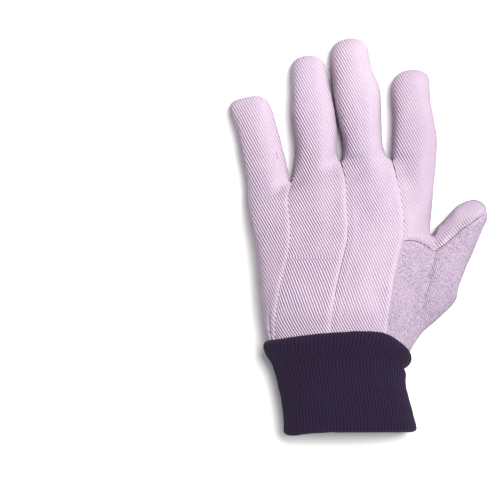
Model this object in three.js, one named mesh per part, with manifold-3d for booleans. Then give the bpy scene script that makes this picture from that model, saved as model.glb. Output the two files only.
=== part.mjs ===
// A left-hand cotton drill work glove with a rib-knit wrist, lying palm down with its back up.
// Lengths are millimetres. While it is built, X runs across the hand towards the thumb, Y runs
// from the wrist to the fingertips with 0 at the top of the cuff, and Z is up from the surface
// that the glove lies on. At the end the whole glove is moved so that the origin is at the
// middle of its box, on that surface.
//
// The cloth is one hollow skin: lofts of the hand, four fingers and thumb are joined, the same
// lofts made smaller by the cloth's thickness are taken out of them, and the skin is then cut
// along the seams into the panels that the glove is sewn from.
import * as THREE from "three";
import { mergeVertices } from "three/addons/utils/BufferGeometryUtils.js";
import Module from "manifold-3d";

const wasm = await Module();
wasm.setup();

// Cloth, knit and seams
const clothThickness = 1.4;
const knitThickness = 2.4;
const seamGap = 0.3;
const floorPress = 2.5; // how much of a rounded underside the floor presses flat

// The hand, from the top of the cuff to the root of the middle finger
const handLength = 109.5;
const handWidth = 112;
const handDepth = 39;
const tuckLength = 5.5; // cloth that goes down inside the cuff's roll

// The knit cuff
const cuffLength = 65;
const cuffWidth = 85;
const cuffDepth = 36;
const ribCount = 94;
const ribDepth = 0.5;

// Fingers and thumb: length from the root line to the tip, and size at the root
const pinkyLength = 57.2;
const pinkyWidth = 27;
const pinkyDepth = 22;
const ringLength = 71.1;
const ringWidth = 28.5;
const ringFingerDepth = 24;
const middleLength = 80.6;
const middleWidth = 30;
const middleDepth = 25;
const indexLength = 59.3;
const indexWidth = 29.3;
const indexDepth = 24;
const thumbLength = 57.1;
const thumbWidth = 30.8;
const thumbDepth = 25;
const tipRounding = 9; // length of the rounded end of a finger

// How far each loft is divided, outside and inside the cloth
const handSidesOutside = 36;
const handSidesInside = 24;
const fingerSidesOutside = 16;
const fingerSidesInside = 12;
const handSteps = 11;
const fingerSteps = 6;
const tipSteps = 3;

// Share of the cuff's length that its top edge reaches, by the angle round the wrist:
// 0 is the thumb side, 90 the back, 180 the little-finger side and 270 the palm side.
const cuffTopEdge = [
  { angle: 0, reach: 0.79 },
  { angle: 28, reach: 0.89 },
  { angle: 52, reach: 0.99 },
  { angle: 90, reach: 0.99 },
  { angle: 135, reach: 0.945 },
  { angle: 180, reach: 0.9 },
  { angle: 225, reach: 0.87 },
  { angle: 270, reach: 0.92 },
  { angle: 320, reach: 0.9 },
];

// along is a share of the hand's length, left and right of its width, top of its depth. lift is
// how much of the cuff's wall it stands on, and edge how much it follows the cuff's top edge.
const handSections = [
  { along: 0, left: 0.413, right: 0.4, top: 0.91, lift: 1, edge: 1 },
  { along: 0.04, left: 0.422, right: 0.412, top: 0.95, lift: 0.55, edge: 0.85 },
  { along: 0.1, left: 0.444, right: 0.428, top: 0.985, lift: 0, edge: 0.5 },
  { along: 0.24, left: 0.46, right: 0.449, top: 1, lift: 0, edge: 0.1 },
  { along: 0.39, left: 0.466, right: 0.484, top: 1, lift: 0, edge: 0 },
  { along: 0.53, left: 0.484, right: 0.516, top: 0.97, lift: 0, edge: 0 },
  { along: 0.63, left: 0.503, right: 0.52, top: 0.93, lift: 0, edge: 0 },
  { along: 0.735, left: 0.527, right: 0.53, top: 0.86, lift: 0, edge: 0 },
  { along: 0.83, left: 0.533, right: 0.541, top: 0.76, lift: 0, edge: 0 },
  { along: 0.872, left: 0.531, right: 0.545, top: 0.7, lift: 0, edge: 0 },
];
// Past the root of the little finger the hand is only as wide as the other three.
const handFront = [
  { along: 0.885, left: 0.287, right: 0.545, top: 0.68, lift: 0, edge: 0 },
  { along: 0.93, left: 0.277, right: 0.545, top: 0.65, lift: 0, edge: 0 },
  { along: 0.985, left: 0.262, right: 0.54, top: 0.61, lift: 0, edge: 0 },
];

// at is a share of the way from the cuff's rim to its top edge, width and depth are shares of
// the cuff's own, and shift of its width, towards the thumb.
const cuffSections = [
  { at: 0, width: 0.97, depth: 0.94, shift: 0.077 },
  { at: 0.02, width: 0.995, depth: 0.975, shift: 0.075 },
  { at: 0.3, width: 0.968, depth: 0.97, shift: 0.043 },
  { at: 0.66, width: 0.98, depth: 0.95, shift: -0.01 },
  { at: 0.755, width: 0.987, depth: 0.97, shift: -0.019 },
  { at: 0.83, width: 1.06, depth: 1.06, shift: -0.022 },
  { at: 0.91, width: 1.12, depth: 1.13, shift: -0.022 },
  { at: 0.97, width: 1.115, depth: 1.115, shift: -0.014 },
  { at: 1, width: 1.092, depth: 1.04, shift: -0.008 },
];

// along is a share of the finger's length from its root, side and width are shares of its width,
// depth and lift of its depth. The first row is the hidden tail inside the hand.
const pinkySections = [
  { along: -0.35, side: 0, width: 0.88, depth: 0.92, lift: 0 },
  { along: 0, side: 0, width: 1.01, depth: 1, lift: 0 },
  { along: 0.4, side: -0.01, width: 0.985, depth: 0.94, lift: 0.06 },
  { along: 0.67, side: -0.03, width: 0.94, depth: 0.89, lift: 0.08 },
  { along: 0.85, side: -0.05, width: 0.9, depth: 0.85, lift: 0.03 },
  { along: 1, side: -0.05, width: 0.88, depth: 0.8, lift: 0 },
];
const ringSections = [
  { along: -0.3, side: 0, width: 0.9, depth: 0.92, lift: 0 },
  { along: 0, side: 0, width: 0.975, depth: 1, lift: 0 },
  { along: 0.21, side: 0.03, width: 0.985, depth: 0.98, lift: 0.04 },
  { along: 0.41, side: 0.01, width: 0.995, depth: 0.94, lift: 0.08 },
  { along: 0.545, side: -0.012, width: 0.965, depth: 0.92, lift: 0.09 },
  { along: 0.68, side: -0.03, width: 0.885, depth: 0.89, lift: 0.07 },
  { along: 0.82, side: -0.045, width: 0.825, depth: 0.85, lift: 0.03 },
  { along: 1, side: -0.035, width: 0.775, depth: 0.8, lift: 0 },
];
const middleSections = [
  { along: -0.25, side: 0, width: 0.88, depth: 0.92, lift: 0 },
  { along: 0, side: 0, width: 0.97, depth: 1, lift: 0 },
  { along: 0.06, side: 0.005, width: 0.92, depth: 0.99, lift: 0.01 },
  { along: 0.17, side: 0.02, width: 0.87, depth: 0.97, lift: 0.04 },
  { along: 0.315, side: 0.02, width: 0.94, depth: 0.95, lift: 0.07 },
  { along: 0.45, side: 0.02, width: 1, depth: 0.93, lift: 0.09 },
  { along: 0.556, side: 0.025, width: 1.01, depth: 0.92, lift: 0.08 },
  { along: 0.69, side: -0.005, width: 0.92, depth: 0.89, lift: 0.05 },
  { along: 0.81, side: -0.01, width: 0.84, depth: 0.86, lift: 0.02 },
  { along: 1, side: 0, width: 0.78, depth: 0.8, lift: 0 },
];
const indexSections = [
  { along: -0.3, side: 0, width: 0.82, depth: 0.92, lift: 0 },
  { along: 0, side: 0, width: 1, depth: 1, lift: 0 },
  { along: 0.14, side: 0.02, width: 1, depth: 0.98, lift: 0.02 },
  { along: 0.23, side: 0.03, width: 1, depth: 0.97, lift: 0.04 },
  { along: 0.34, side: 0.03, width: 0.956, depth: 0.95, lift: 0.06 },
  { along: 0.446, side: 0.015, width: 0.912, depth: 0.93, lift: 0.07 },
  { along: 0.66, side: -0.02, width: 0.835, depth: 0.88, lift: 0.06 },
  { along: 0.8, side: -0.035, width: 0.805, depth: 0.85, lift: 0.03 },
  { along: 1, side: 0.01, width: 0.775, depth: 0.8, lift: 0 },
];
const thumbSections = [
  { along: -0.75, side: -0.01, width: 0.9, depth: 0.84, lift: 0.21 },
  { along: -0.486, side: 0.03, width: 1.063, depth: 1.05, lift: 0 },
  { along: -0.33, side: 0.048, width: 1.142, depth: 1.05, lift: 0 },
  { along: -0.15, side: 0.078, width: 1.245, depth: 1.04, lift: 0 },
  { along: -0.04, side: 0.05, width: 1.186, depth: 1.04, lift: 0 },
  { along: 0.09, side: 0.023, width: 1.134, depth: 1.02, lift: 0 },
  { along: 0.25, side: -0.004, width: 1.059, depth: 1, lift: 0 },
  { along: 0.373, side: -0.015, width: 1, depth: 0.98, lift: 0.02 },
  { along: 0.52, side: -0.01, width: 0.9, depth: 0.95, lift: 0.05 },
  { along: 0.68, side: -0.01, width: 0.785, depth: 0.91, lift: 0.05 },
  { along: 0.842, side: -0.02, width: 0.7, depth: 0.87, lift: 0.03 },
  { along: 1, side: -0.03, width: 0.64, depth: 0.8, lift: 0 },
];

// Seams on the back, from the cuff to where two fingers part: along is a share of the hand's
// length and side of its width.
const pinkyRingSeam = [
  { along: -0.25, side: -0.345 },
  { along: -0.1, side: -0.355 },
  { along: -0.02, side: -0.378 },
  { along: 0.1, side: -0.371 },
  { along: 0.3, side: -0.339 },
  { along: 0.46, side: -0.305 },
  { along: 0.6, side: -0.291 },
  { along: 0.74, side: -0.303 },
  { along: 0.877, side: -0.282 },
];
const ringMiddleSeam = [
  { along: -0.25, side: -0.06 },
  { along: 0.1, side: -0.05 },
  { along: 0.2, side: -0.036 },
  { along: 0.3, side: -0.017 },
  { along: 0.4, side: 0.004 },
  { along: 0.52, side: 0.034 },
  { along: 0.62, side: 0.04 },
  { along: 0.77, side: 0.032 },
  { along: 0.9, side: 0.028 },
  { along: 0.985, side: 0.003 },
];
const middleIndexSeam = [
  { along: -0.25, side: 0.25 },
  { along: -0.05, side: 0.262 },
  { along: 0.12, side: 0.277 },
  { along: 0.24, side: 0.294 },
  { along: 0.33, side: 0.305 },
  { along: 0.43, side: 0.334 },
  { along: 0.53, side: 0.357 },
  { along: 0.6, side: 0.363 },
  { along: 0.7, side: 0.358 },
  { along: 0.8, side: 0.345 },
  { along: 0.89, side: 0.329 },
  { along: 0.985, side: 0.3 },
];
// The thumb panel's edge. on is the hand or the thumb, whose sizes along and side share: on the
// thumb they are shares of its length and width. The under columns are the same stretch of the
// seam on the palm side, always in shares of the thumb.
const thumbPanelSeam = [
  { on: "hand", along: -0.25, side: 0.25, underAlong: -1.215, underSide: 0.374 },
  { on: "hand", along: -0.05, side: 0.262, underAlong: -0.93, underSide: 0.18 },
  { on: "hand", along: 0.12, side: 0.277, underAlong: -0.64, underSide: 0.12 },
  { on: "hand", along: 0.24, side: 0.294, underAlong: -0.52, underSide: 0.14 },
  { on: "hand", along: 0.33, side: 0.305, underAlong: -0.42, underSide: 0.16 },
  { on: "hand", along: 0.43, side: 0.334, underAlong: -0.3, underSide: 0.19 },
  { on: "hand", along: 0.53, side: 0.357, underAlong: -0.12, underSide: 0.2 },
  { on: "hand", along: 0.532, side: 0.403, underAlong: -0.02, underSide: 0.2 },
  { on: "hand", along: 0.52, side: 0.461, underAlong: 0.07, underSide: 0.2 },
  { on: "thumb", along: 0.23, side: -0.23, underAlong: 0.2, underSide: 0.18 },
  { on: "thumb", along: 0.344, side: -0.175, underAlong: 0.344, underSide: 0.16 },
  { on: "thumb", along: 0.52, side: -0.067, underAlong: 0.52, underSide: 0.14 },
  { on: "thumb", along: 0.66, side: 0.013, underAlong: 0.66, underSide: 0.12 },
  { on: "thumb", along: 0.8, side: 0.093, underAlong: 0.8, underSide: 0.13 },
  { on: "thumb", along: 0.92, side: 0.19, underAlong: 0.92, underSide: 0.15 },
  { on: "thumb", along: 1.25, side: 0.4, underAlong: 1.25, underSide: 0.3 },
];
// Height of the side seams of the ring and middle fingers, as shares of the finger's depth, and
// the height that the seams come up to out of the forks, as a share of the hand's.
const seamTowardsPinky = 0.27;
const seamTowardsThumb = 0.47;
const seamAtForks = 0.5;

const drill = { color: 0xe6d0e1, roughness: 0.92, metalness: 0 };
const navyKnit = { color: 0x34274a, roughness: 0.95, metalness: 0 };

const radians = THREE.MathUtils.degToRad;
const lerp = THREE.MathUtils.lerp;

// A smooth curve through a table's column, read at any value of its key column.
function columnCurve(rows, key, column) {
  const slope = (i) => {
    const before = rows[Math.max(i - 1, 0)];
    const after = rows[Math.min(i + 1, rows.length - 1)];
    return (after[column] - before[column]) / (after[key] - before[key]);
  };
  return (value) => {
    let i = rows.findIndex((row) => row[key] > value) - 1;
    if (i < 0) i = value < rows[0][key] ? 0 : rows.length - 2;
    const [a, b] = [rows[i], rows[i + 1]];
    const span = b[key] - a[key];
    const t = THREE.MathUtils.clamp((value - a[key]) / span, 0, 1);
    const bend = t * t * (3 - 2 * t);
    const ease = slope(i) * (t * t * t - 2 * t * t + t) + slope(i + 1) * (t * t * t - t * t);
    return lerp(a[column], b[column], bend) + span * ease;
  };
}

// All the columns of a table as one function of its key column.
function tableCurve(rows, key) {
  const columns = Object.keys(rows[0]).filter((column) => column !== key);
  const curves = columns.map((column) => [column, columnCurve(rows, key, column)]);
  return (value) => Object.fromEntries(curves.map(([column, curve]) => [column, curve(value)]));
}

// The cuff's top edge by angle, as a share of the cuff's length, closed smoothly round the wrist.
const wrappedTopEdge = [-360, 0, 360].flatMap((turn) =>
  cuffTopEdge.map((row) => ({ angle: row.angle + turn, reach: row.reach })),
);
const topEdgeReach = columnCurve(wrappedTopEdge, "angle", "reach");
const cuffReach = (angle) => cuffLength * topEdgeReach(THREE.MathUtils.radToDeg(angle));

// A rounded section, pressed flat where it meets the floor: [across, height] for each side.
function sectionOutline({ centre, halfWidth, floor, lift, top, inset = 0 }, sides, ripple = 0) {
  const bottom = floor + lift - floorPress;
  const middle = (top + bottom) / 2;
  const halfDepth = (top - bottom) / 2 - inset;
  return Array.from({ length: sides }, (_, i) => {
    const angle = (2 * Math.PI * i) / sides;
    const [c, s] = [Math.cos(angle), Math.sin(angle)];
    const power = 2 / (s < 0 ? 2.6 : 2.3);
    const rib = ripple * (i % 2 ? -1 : 0);
    const across = (halfWidth - inset + rib) * Math.sign(c) * Math.abs(c) ** power;
    const height = middle + (halfDepth + rib) * Math.sign(s) * Math.abs(s) ** power;
    return { x: centre + across, z: Math.max(height, floor + inset), angle };
  });
}

// A closed body through rings of points that all have the same number of sides.
function loft(rings) {
  const sides = rings[0].length;
  const positions = rings.flat().flatMap((p) => [p.x, p.y, p.z]);
  const middleOf = (ring) =>
    ring.reduce((sum, p) => sum.add(p), new THREE.Vector3()).divideScalar(sides);
  const startCentre = rings.length * sides;
  const endCentre = startCentre + 1;
  positions.push(...middleOf(rings[0]).toArray(), ...middleOf(rings.at(-1)).toArray());
  const faces = [];
  for (let j = 0; j < sides; j++) {
    const next = (j + 1) % sides;
    const last = (rings.length - 1) * sides;
    faces.push(startCentre, j, next, endCentre, last + next, last + j);
    for (let i = 0; i + 1 < rings.length; i++) {
      const [low, high] = [i * sides, (i + 1) * sides];
      faces.push(low + j, high + j, low + next, low + next, high + j, high + next);
    }
  }
  return new THREE.BufferGeometry()
    .setAttribute("position", new THREE.Float32BufferAttribute(positions, 3))
    .setIndex(faces);
}

// A body between a lower and an upper outline with matching points, given anticlockwise.
function ruledBody(lower, upper) {
  const count = lower.length;
  const flat = (outline) => outline.map((p) => new THREE.Vector2(p.x, p.y));
  const top = THREE.ShapeUtils.triangulateShape(flat(upper), []);
  const bottom = THREE.ShapeUtils.triangulateShape(flat(lower), []);
  const faces = bottom.flatMap(([a, b, c]) => [a, c, b]);
  faces.push(...top.flatMap(([a, b, c]) => [a + count, b + count, c + count]));
  for (let i = 0; i < count; i++) {
    const next = (i + 1) % count;
    faces.push(i, next, next + count, i, next + count, i + count);
  }
  const positions = [...lower, ...upper].flatMap((p) => [p.x, p.y, p.z]);
  return new THREE.BufferGeometry()
    .setAttribute("position", new THREE.Float32BufferAttribute(positions, 3))
    .setIndex(faces);
}

function toSolid(geometry) {
  const merged = mergeVertices(geometry, 1e-4);
  return new wasm.Manifold(
    new wasm.Mesh({
      numProp: 3,
      vertProperties: merged.attributes.position.array,
      triVerts: new Uint32Array(merged.index.array),
    }),
  );
}

// Long thin slivers along a cut are closed up, so that the solids stay light.
const cutTolerance = 0.06;

function toMesh(name, solid, material) {
  const { numProp, vertProperties, triVerts } = solid.simplify(cutTolerance).getMesh();
  const geometry = new THREE.BufferGeometry()
    .setAttribute("position", new THREE.BufferAttribute(vertProperties, numProp))
    .setIndex(new THREE.BufferAttribute(triVerts, 1));
  geometry.computeVertexNormals();
  const mesh = new THREE.Mesh(geometry, new THREE.MeshStandardMaterial(material));
  mesh.name = name;
  return mesh;
}

// The hand's skin at one place along it. inset makes the smaller form inside the cloth, and a
// negative one a larger form round it.
const handCurve = tableCurve(handSections, "along");
const cuffWallUnder = knitThickness + seamGap;

function handRing(row, y, inset, sides) {
  const [left, right] = [row.left * handWidth, row.right * handWidth];
  const outline = sectionOutline(
    {
      centre: (right - left) / 2,
      halfWidth: (right + left) / 2,
      floor: Math.max(row.lift, 0) * cuffWallUnder,
      lift: 0,
      top: row.top * handDepth,
      inset,
    },
    sides,
  );
  return outline.map(({ x, z, angle }) => {
    const edge = row.edge * (cuffReach(angle) - cuffLength);
    return new THREE.Vector3(x, y + edge, z);
  });
}

// The cloth's end inside the cuff is a little smaller than where it leaves the cuff.
const tuckedRow = { ...handSections[0], left: 0.39, right: 0.377, top: 0.86 };

function handBody(inset, sides, pastEnd) {
  const rings = [handRing(tuckedRow, -tuckLength - pastEnd, inset, sides)];
  const last = handSections.at(-1).along;
  const steps = Array.from({ length: handSteps + 1 }, (_, i) => (last * i) / handSteps);
  const rows = [...steps.map((along) => ({ along, ...handCurve(along) })), ...handFront];
  for (const row of rows) {
    rings.push(handRing(row, row.along * (handLength - inset), inset, sides));
  }
  return toSolid(loft(rings));
}

// A finger's own frame: where its root is, and the directions along it and across it.
function fingerFrame({ rootAlong, rootSide, heading }) {
  const root = new THREE.Vector3(rootSide * handWidth, rootAlong * handLength, 0);
  const turn = radians(heading);
  const along = new THREE.Vector3(Math.sin(turn), Math.cos(turn), 0);
  const across = new THREE.Vector3(Math.cos(turn), -Math.sin(turn), 0);
  return (distance, side, height = 0) =>
    root.clone().addScaledVector(along, distance).addScaledVector(across, side).setZ(height);
}

function fingerBody(finger, inset, sides) {
  const { length, width, depth, sections, squareness = 2.3 } = finger;
  const place = fingerFrame(finger);
  const curve = tableCurve(sections, "along");
  const [start, roundFrom] = [sections[0].along, 1 - tipRounding / length];
  const ring = (along, scale) => {
    const row = curve(along);
    const outline = sectionOutline(
      {
        centre: row.side * width,
        halfWidth: ((row.width * width) / 2 - inset) * scale,
        floor: inset,
        lift: (row.lift + (1 - scale) * 0.3) * depth,
        top: (row.lift + row.depth * (0.45 + 0.55 * scale)) * depth - inset,
      },
      sides,
    );
    const shorter = along > roundFrom ? inset : 0;
    return outline.map(({ x, z }) => place(along * length - shorter, x, z));
  };
  const rings = [];
  for (let i = 0; i < fingerSteps; i++) rings.push(ring(lerp(start, roundFrom, i / fingerSteps), 1));
  for (let i = 0; i <= tipSteps; i++) {
    const share = Math.sin((Math.PI / 2) * (i / tipSteps));
    const scale = Math.max(1 - share ** squareness, 0.02) ** (1 / squareness);
    rings.push(ring(lerp(roundFrom, 1, share), scale));
  }
  return toSolid(loft(rings));
}

const fingers = {
  pinky: {
    rootAlong: 0.877,
    rootSide: -0.411,
    heading: -11.4,
    length: pinkyLength,
    width: pinkyWidth,
    depth: pinkyDepth,
    sections: pinkySections,
  },
  ring: {
    rootAlong: 0.976,
    rootSide: -0.138,
    heading: -3.6,
    length: ringLength,
    width: ringWidth,
    depth: ringFingerDepth,
    sections: ringSections,
  },
  middle: {
    rootAlong: 1,
    rootSide: 0.138,
    heading: -7.35,
    length: middleLength,
    width: middleWidth,
    depth: middleDepth,
    sections: middleSections,
  },
  index: {
    rootAlong: 1,
    rootSide: 0.429,
    heading: -1.6,
    length: indexLength,
    width: indexWidth,
    depth: indexDepth,
    sections: indexSections,
    squareness: 2.8,
  },
  thumb: {
    rootAlong: 0.329,
    rootSide: 0.529,
    heading: 34,
    length: thumbLength,
    width: thumbWidth,
    depth: thumbDepth,
    sections: thumbSections,
  },
};

function gloveForm(inset, handSides, fingerSides, pastEnd) {
  return Object.values(fingers).reduce(
    (sum, finger) => sum.add(fingerBody(finger, inset, fingerSides)),
    handBody(inset, handSides, pastEnd),
  );
}

function clothSkin() {
  const outside = gloveForm(0, handSidesOutside, fingerSidesOutside, 0);
  const inside = gloveForm(clothThickness, handSidesInside, fingerSidesInside, tuckLength);
  return outside.subtract(inside);
}

// The way between two neighbouring fingers, midway between their facing sides.
function gapPath(leftFinger, rightFinger) {
  const edge = (finger, y, towards) => {
    const { length, width, sections } = finger;
    const place = fingerFrame(finger);
    const along = (y - finger.rootAlong * handLength) / length;
    const row = tableCurve(sections, "along")(Math.min(along, 1));
    return place(along * length, (row.side + (towards * row.width) / 2) * width).x;
  };
  const shorter = Math.min(leftFinger.length, rightFinger.length);
  const from = Math.max(leftFinger.rootAlong, rightFinger.rootAlong) * handLength;
  return [0.12, 0.3, 0.5, 0.7, 0.9, 1.1].map((share) => {
    const y = from + share * shorter;
    return { x: (edge(leftFinger, y, 1) + edge(rightFinger, y, -1)) / 2, y };
  });
}

const handPoint = (row) => ({ x: row.side * handWidth, y: row.along * handLength });
const beyondTips = handLength + 1.3 * middleLength;
const aboveGlove = 1.5 * handDepth;

// The form that a strip of the back is cut out with: from the seam on its left to the one on its
// right, and above the side seams of its finger.
function stripCutter(finger, left, right) {
  const side = ({ seam, gap }, sideHeight) => [
    ...seam.map((p) => ({ ...p, z: seamAtForks * handDepth })),
    ...gap.map((p) => ({ ...p, z: sideHeight * finger.depth })),
    { x: gap.at(-1).x, y: beyondTips, z: sideHeight * finger.depth },
  ];
  const lower = [...side(right, seamTowardsThumb), ...side(left, seamTowardsPinky).reverse()];
  const upper = lower.map((p) => ({ ...p, z: aboveGlove }));
  return toSolid(ruledBody(lower, upper));
}

// The form that the thumb panel is cut out with: straight down from its seam on the back to half
// the hand's height, and from there ruled to its seam on the palm side.
function thumbPanelCutter() {
  const thumbPlace = fingerFrame(fingers.thumb);
  const onThumb = (along, side) => thumbPlace(along * thumbLength, side * thumbWidth);
  const level = (z, pointOf) => {
    const path = thumbPanelSeam.map(pointOf).map(({ x, y }) => ({ x, y, z }));
    const beyond = (p) => ({ x: 1.3 * handWidth, y: p.y, z });
    return [...path, beyond(path.at(-1)), beyond(path[0])].reverse();
  };
  const over = (row) => (row.on === "hand" ? handPoint(row) : onThumb(row.along, row.side));
  const under = (row) => onThumb(row.underAlong, row.underSide);
  const halfWay = level(seamAtForks * handDepth, over);
  const lower = toSolid(ruledBody(level(-floorPress, under), halfWay));
  return lower.add(toSolid(ruledBody(halfWay, level(aboveGlove, over))));
}

// A cutter made smaller and larger by half a seam's gap, as the part that copies of it, moved
// every way, share or fill.
const seamMoves = [-1, 1].flatMap((way) => [[way, 0, 0], [0, way, 0], [0, 0, way]]);
function withSeamRoom(cutter) {
  const moved = seamMoves.map((move) => cutter.translate(move.map((v) => v * 0.6 * seamGap)));
  return {
    smaller: moved.reduce((a, b) => a.intersect(b)),
    larger: moved.reduce((a, b) => a.add(b)),
  };
}

// The largest body of a cut piece, without the crumbs that two crossing cuts can leave.
function withoutCrumbs(solid) {
  return solid.decompose().reduce((a, b) => (a.volume() > b.volume() ? a : b));
}

function clothPanels() {
  const { pinky, ring, middle, index } = fingers;
  const pinkyRing = { seam: pinkyRingSeam.map(handPoint), gap: gapPath(pinky, ring) };
  const ringMiddle = { seam: ringMiddleSeam.map(handPoint), gap: gapPath(ring, middle) };
  const middleIndex = { seam: middleIndexSeam.map(handPoint), gap: gapPath(middle, index) };
  const cutters = {
    ring_back_panel: stripCutter(ring, pinkyRing, ringMiddle),
    middle_back_panel: stripCutter(middle, ringMiddle, middleIndex),
    thumb_back_panel: thumbPanelCutter(),
  };
  const skin = clothSkin();
  const panels = {};
  let rest = skin;
  for (const [name, cutter] of Object.entries(cutters)) {
    const { smaller, larger } = withSeamRoom(cutter);
    panels[name] = withoutCrumbs(skin.intersect(smaller));
    rest = rest.subtract(larger);
  }
  return { palm_panel: withoutCrumbs(rest), ...panels };
}

// The cuff's rings run from the rim to the top edge, which rises and falls round the wrist.
const cuffCurve = tableCurve(cuffSections, "at");

function cuffRing(at, sides, inset, ripple) {
  const row = cuffCurve(at);
  const outline = sectionOutline(
    {
      centre: row.shift * cuffWidth,
      halfWidth: (row.width * cuffWidth) / 2,
      floor: 0,
      lift: 0,
      top: row.depth * cuffDepth,
      inset,
    },
    sides,
    ripple,
  );
  return outline.map(
    ({ x, z, angle }) => new THREE.Vector3(x, at * cuffReach(angle) - cuffLength, z),
  );
}

function knitCuff() {
  const outer = cuffSections.map(({ at }) => cuffRing(at, 2 * ribCount, 0, ribDepth));
  // Inside, the knit keeps its thickness up to the roll, and there clears the tucked cloth.
  const inner = [-0.03, 0.15, 0.4, 0.66, 0.755, 0.81].map((at) =>
    cuffRing(at, handSidesOutside, knitThickness, 0),
  );
  const [mouth] = handSections;
  inner.push(handRing(tuckedRow, -tuckLength - 1, -2 * seamGap, handSidesOutside));
  inner.push(handRing(mouth, 0, -seamGap, handSidesOutside));
  inner.push(handRing(mouth, tuckLength, -seamGap, handSidesOutside));
  return toSolid(loft(outer)).subtract(toSolid(loft(inner)));
}

const glove = new THREE.Group();
for (const [name, solid] of Object.entries(clothPanels())) glove.add(toMesh(name, solid, drill));
glove.add(toMesh("knit_cuff", knitCuff(), navyKnit));

const box = new THREE.Box3().setFromObject(glove);
const middleOfBox = box.getCenter(new THREE.Vector3());
glove.position.set(-middleOfBox.x, -middleOfBox.y, -box.min.z);

export default glove;
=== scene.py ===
import math
import bpy
import bmesh
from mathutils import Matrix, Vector, noise
from mathutils.kdtree import KDTree


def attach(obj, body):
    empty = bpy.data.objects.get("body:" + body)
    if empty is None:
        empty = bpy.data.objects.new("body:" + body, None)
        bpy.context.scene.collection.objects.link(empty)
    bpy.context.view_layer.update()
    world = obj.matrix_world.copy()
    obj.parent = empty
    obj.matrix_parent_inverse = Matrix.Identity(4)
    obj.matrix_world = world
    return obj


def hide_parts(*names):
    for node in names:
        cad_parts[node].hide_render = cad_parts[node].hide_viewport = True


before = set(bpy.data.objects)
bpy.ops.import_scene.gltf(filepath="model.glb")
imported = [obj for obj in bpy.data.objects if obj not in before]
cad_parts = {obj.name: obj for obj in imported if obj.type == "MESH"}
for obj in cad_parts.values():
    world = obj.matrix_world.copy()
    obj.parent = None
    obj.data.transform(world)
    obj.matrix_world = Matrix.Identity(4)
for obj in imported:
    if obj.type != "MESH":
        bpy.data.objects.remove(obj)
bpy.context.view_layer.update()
mm = 0.001

# A left-hand cotton drill glove, palm down. Numbers in the tables are millimetres seen from above,
# with X towards the thumb, Y towards the fingertips and Z up from the floor.

glove = {
    "clothThickness": 1.2,
    "clothDetail": 3,      # subdivision levels of the sewn cloth
    "drape": 0.75,         # height of the soft waves in the cloth
    "seamDip": 0.6,        # how far a seam sinks into the cloth
    "thumbSeamDip": 0.9,
    "pucker": 0.24,        # height of the gathers beside a seam
    "thumbPucker": 0.36,
}

# the back of the hand: nine points across each row, from the little-finger side to the thumb side
handRows = [
    [(-58.9, -74.7), (-57.0, -74.4), (-55.4, -74.1), (-37.8, -71.8), (-20.3, -69.6),
     (-2.4, -70.5), (15.5, -71.5), (22.2, -76), (28.8, -81.2)],
    [(-62.1, -59.3), (-58.9, -59.3), (-55.7, -59.3), (-37.7, -59.1), (-19.8, -58.9),
     (-1.7, -58.8), (16.4, -58.6), (23.9, -63.8), (34.6, -69.2)],
    [(-63.8, -47), (-59.1, -47), (-54.5, -47), (-36.6, -47), (-18.6, -47),
     (-0.4, -47), (17.7, -47), (25.9, -51.8), (34.6, -56.7)],
    [(-65.1, -33.5), (-58.7, -33.3), (-52.4, -33.1), (-34.2, -33), (-16.1, -32.8),
     (1.9, -32.8), (19.8, -32.8), (29.1, -37), (38.8, -41.2)],
    [(-65.9, -19.9), (-57.3, -19.4), (-48.8, -18.9), (-30.9, -18.8), (-13, -18.6),
     (5, -18.6), (22.9, -18.6), (32.6, -22.2), (42.6, -25.7)],
    [(-67.5, -6.4), (-56.9, -5.7), (-46.2, -5.1), (-27.9, -4.8), (-9.6, -4.4),
     (8.5, -4.4), (26.5, -4.3), (36.2, -4.6), (45.2, -9.4)],
    [(-68.7, 0.1), (-57.4, 0.7), (-46.1, 1.4), (-27.6, 1.7), (-9.1, 2),
     (9, 2), (27, 2), (36.4, 0.1), (45.4, -5.1)],
    [(-70.4, 6.5), (-58.3, 7.7), (-46.2, 8.8), (-27.7, 9.3), (-9.2, 9.8),
     (8.9, 9.8), (27.1, 9.8), (36.2, 6.5), (44.6, 0.1)],
    [(-72.4, 14.3), (-59.9, 15.7), (-47.3, 17.2), (-28.6, 18.6), (-9.9, 20.1),
     (8, 20.1), (25.9, 20.1), (36.2, 19.4), (46.5, 18.8)],
    [(-73.5, 21.7), (-60.3, 23.8), (-47.1, 25.9), (-28.6, 29.4), (-10, 33),
     (6.7, 33.5), (23.4, 33.9), (35.5, 34.3), (47.8, 34.9)],
    [(-73.7, 29.1), (-59.4, 31.4), (-45.1, 33.6), (-29, 40.1), (-13, 46.6),
     (3.5, 46.9), (20.1, 47.2), (34.6, 47.2), (49.1, 47.8)],
]
# each row's left side, right side and height
handHeights = [
    (-57.2, 28.7, 35), (-60.5, 32.4, 36.7), (-64.1, 35.5, 38.6), (-65.1, 37, 39), (-65.7, 41, 39),
    (-67.7, 44.3, 37.8), (-68.8, 44.5, 37), (-70.3, 45.1, 35.9), (-72.5, 45.9, 33.3), (-73.2, 47.1, 29.6),
    (-72.8, 47, 25),
]
# the palm side's last two columns, where the thumb panel's edge runs
palmColumn7 = [
    (20.5, -73.4), (24.6, -66.0), (31.0, -55.7), (33.0, -45.7), (34.9, -34.1), (35.9, -21.8),
    (36.2, -10.2), (36.2, 0.7), (36.2, 19.4), (35.5, 34.3), (34.6, 47.2),
]
palmColumn8 = [
    (28.4, -79.9), (32.6, -69.6), (37.2, -48.9), (39.4, -40.6), (42.0, -30.9), (43.9, -21.2),
    (44.9, -11.5), (44.9, -1.9), (45.9, 18.8), (47.2, 34.9), (48.4, 47.8),
]
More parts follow.
